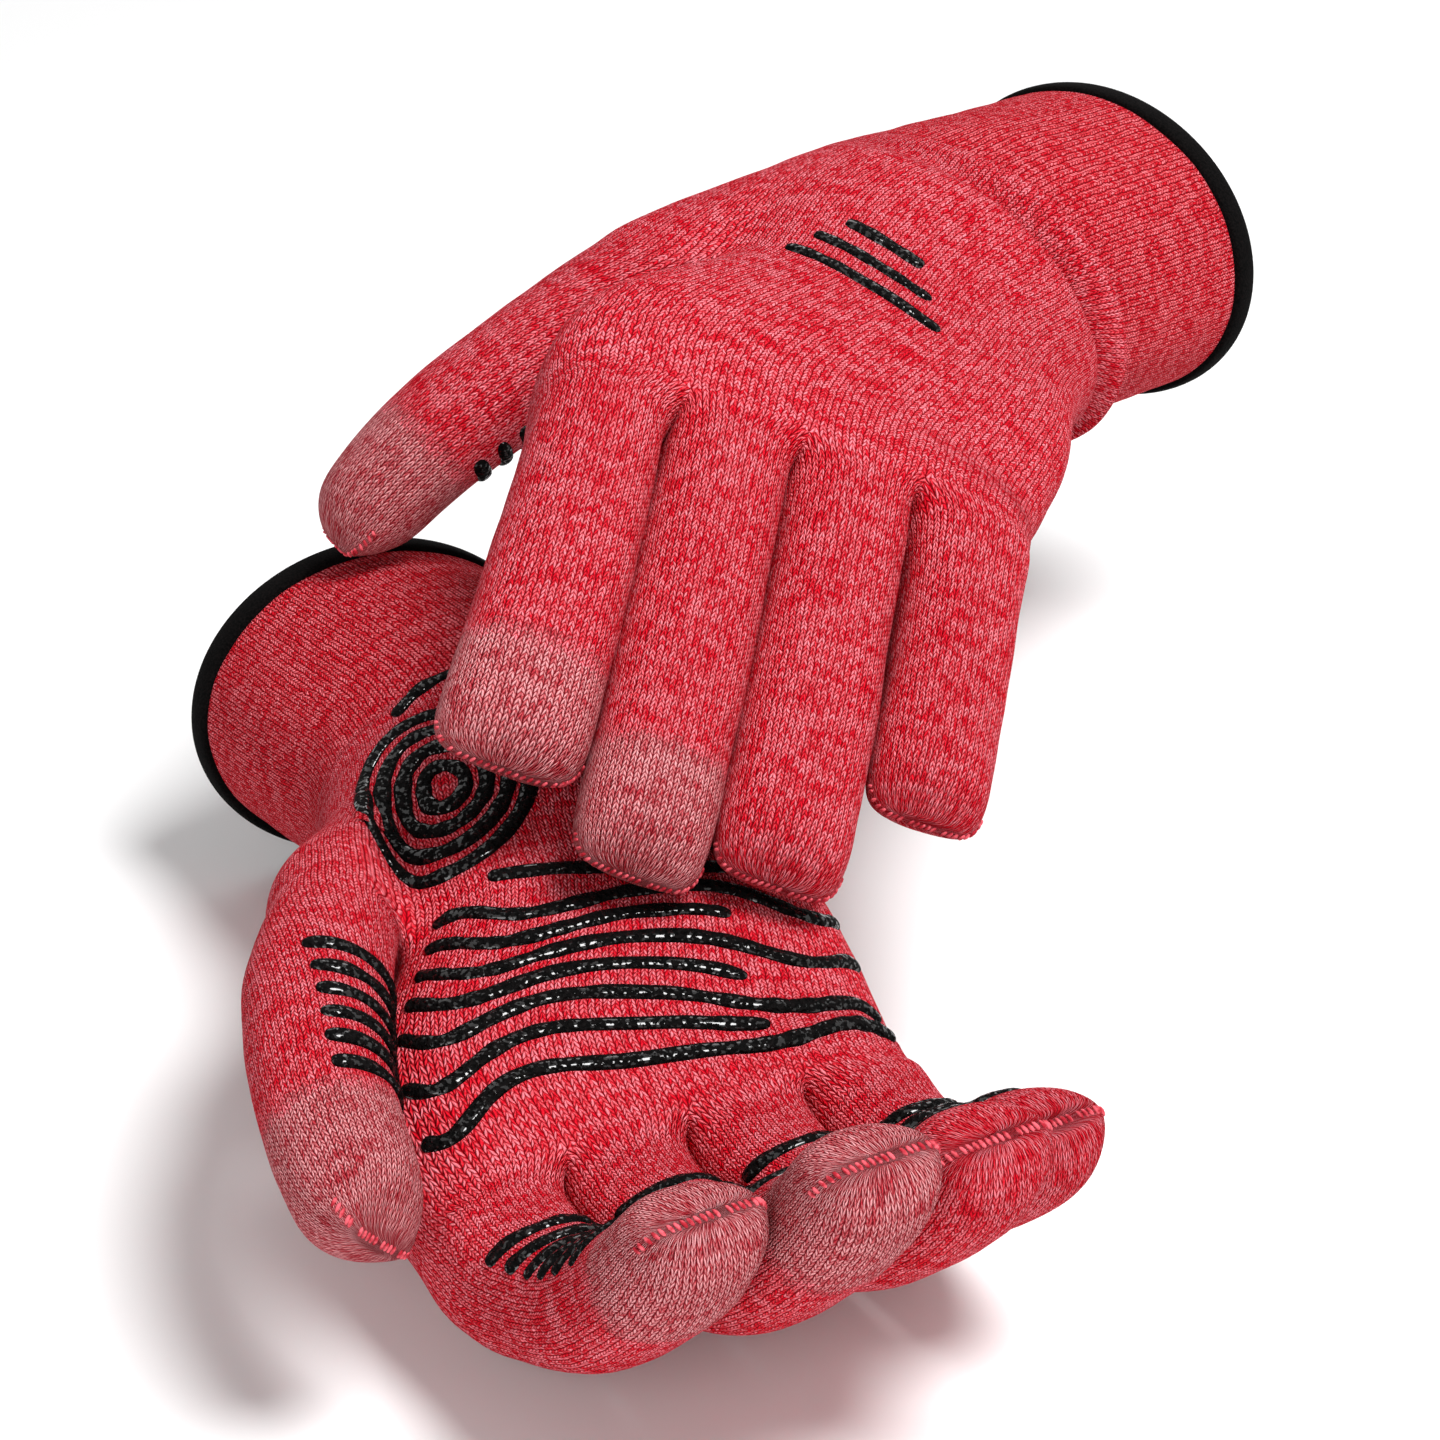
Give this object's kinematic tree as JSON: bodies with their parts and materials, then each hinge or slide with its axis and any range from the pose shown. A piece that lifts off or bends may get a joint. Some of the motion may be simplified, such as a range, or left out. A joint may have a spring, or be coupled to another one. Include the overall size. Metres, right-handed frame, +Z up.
{
  "type": "knit grip glove pair",
  "caption": "Seamless knit work gloves with long ribbed cuff, bound opening, conductive fingertips and raised silicone grip print, for handling hot or rough things.",
  "frame": {"origin": "centre of the bounding box, at its base", "axes": "+Z up from the surface the pair lies on; fingers point to -Y, cuffs to +Y"},
  "size_m": [0.1974, 0.3441, 0.1116],
  "materials": {
    "knit": "marled red knit",
    "rib_knit": "marled red ribbed knit",
    "conductive_knit": "grey conductive knit",
    "tape": "matt black tape",
    "silicone": "gloss black silicone"
  },
  "bodies": {
    "right_hand_body": {"right_cuff_binding": "tape", "right_cuff": "rib_knit", "right_heel": "knit", "right_hand": "knit", "right_heel_grip": "silicone", "right_palm_grip": "silicone"},
    "right_thumb_body": {"right_thumb_stall": "knit", "right_thumb_tip": "conductive_knit", "right_thumb_grip": "silicone"},
    "right_index_body": {"right_index_stall": "knit", "right_index_tip": "conductive_knit", "right_index_grip": "silicone"},
    "right_middle_body": {"right_middle_stall": "knit", "right_middle_tip": "conductive_knit", "right_middle_grip": "silicone"},
    "right_ring_body": {"right_ring_stall": "knit", "right_ring_grip": "silicone"},
    "right_little_body": {"right_little_stall": "knit", "right_little_grip": "silicone"},
    "left_hand_body": {"left_cuff_binding": "tape", "left_cuff": "rib_knit", "left_heel": "knit", "left_hand": "knit", "left_heel_grip": "silicone", "left_palm_grip": "silicone"},
    "left_thumb_body": {"left_thumb_stall": "knit", "left_thumb_tip": "conductive_knit", "left_thumb_grip": "silicone"},
    "left_index_body": {"left_index_stall": "knit", "left_index_tip": "conductive_knit", "left_index_grip": "silicone"},
    "left_middle_body": {"left_middle_stall": "knit", "left_middle_tip": "conductive_knit", "left_middle_grip": "silicone"},
    "left_ring_body": {"left_ring_stall": "knit", "left_ring_grip": "silicone"},
    "left_little_body": {"left_little_stall": "knit", "left_little_grip": "silicone"}
  },
  "joints": [
    {"name": "right_thumb_open", "type": "hinge", "parent": "right_hand_body", "child": "right_thumb_body", "pos_m": [-0.08017, -0.06994, 0.04435], "axis": [-0.1343, 0.1606, -0.9778], "range_deg": [0, 25]},
    {"name": "right_index_open", "type": "hinge", "parent": "right_hand_body", "child": "right_index_body", "pos_m": [-0.04086, -0.1151, 0.00662], "axis": [0.8368, 0.547, -0.0251], "range_deg": [0, 30]},
    {"name": "right_middle_open", "type": "hinge", "parent": "right_hand_body", "child": "right_middle_body", "pos_m": [-0.02245, -0.10307, 0.00606], "axis": [0.8368, 0.547, -0.0251], "range_deg": [0, 30]},
    {"name": "right_ring_open", "type": "hinge", "parent": "right_hand_body", "child": "right_ring_body", "pos_m": [-0.00404, -0.09104, 0.00551], "axis": [0.8368, 0.547, -0.0251], "range_deg": [0, 30]},
    {"name": "right_little_open", "type": "hinge", "parent": "right_hand_body", "child": "right_little_body", "pos_m": [0.01437, -0.07901, 0.00496], "axis": [0.8368, 0.547, -0.0251], "range_deg": [0, 30]},
    {"name": "left_thumb_open", "type": "hinge", "parent": "left_hand_body", "child": "left_thumb_body", "pos_m": [-0.03556, 0.07541, 0.09957], "axis": [-0.3837, 0.1519, -0.9109], "range_deg": [0, 25]},
    {"name": "left_index_open", "type": "hinge", "parent": "left_hand_body", "child": "left_index_body", "pos_m": [-0.02041, 0.00686, 0.1085], "axis": [-0.9226, -0.0205, 0.3853], "range_deg": [0, 30]},
    {"name": "left_middle_open", "type": "hinge", "parent": "left_hand_body", "child": "left_middle_body", "pos_m": [-0.00012, 0.00731, 0.10002], "axis": [-0.9226, -0.0205, 0.3853], "range_deg": [0, 30]},
    {"name": "left_ring_open", "type": "hinge", "parent": "left_hand_body", "child": "left_ring_body", "pos_m": [0.02018, 0.00776, 0.09154], "axis": [-0.9226, -0.0205, 0.3853], "range_deg": [0, 30]},
    {"name": "left_little_open", "type": "hinge", "parent": "left_hand_body", "child": "left_little_body", "pos_m": [0.04048, 0.00821, 0.08307], "axis": [-0.9226, -0.0205, 0.3853], "range_deg": [0, 30]},
    {"name": "left_glove_lift", "type": "slide", "parent": "right_hand_body", "child": "left_hand_body", "axis": [0, 0, 1], "range_m": [0, 0.12]}
  ]
}
